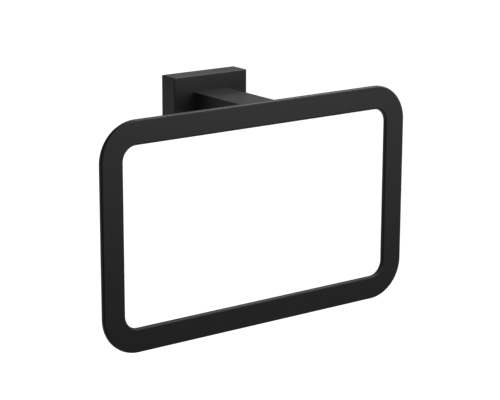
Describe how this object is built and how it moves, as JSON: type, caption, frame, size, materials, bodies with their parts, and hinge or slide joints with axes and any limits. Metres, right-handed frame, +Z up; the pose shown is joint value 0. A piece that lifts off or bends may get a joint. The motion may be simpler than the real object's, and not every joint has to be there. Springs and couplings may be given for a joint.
{
  "type": "towel ring",
  "caption": "Wall-mounted towel ring: a flat hoop shaped as a rounded rectangle, on a rectangular post with a cover flange over a concealed wall bracket.",
  "frame": {"origin": "middle of the flange's back, on the wall", "axes": "+X to the right along the ring's width, +Y into the wall, +Z up"},
  "size_m": [0.2, 0.059, 0.1319],
  "materials": {
    "black_coating": "matte black coating with a soft satin sheen",
    "bare_zinc": "bare cast zinc, dull",
    "plated_steel": "plated screw steel",
    "blackened_steel": "blackened screw steel"
  },
  "bodies": {
    "root": {"ring": "black_coating", "post": "black_coating", "flange": "black_coating", "wall_bracket": "bare_zinc", "post_screws": "plated_steel", "set_screw": "blackened_steel"}
  },
  "joints": []
}
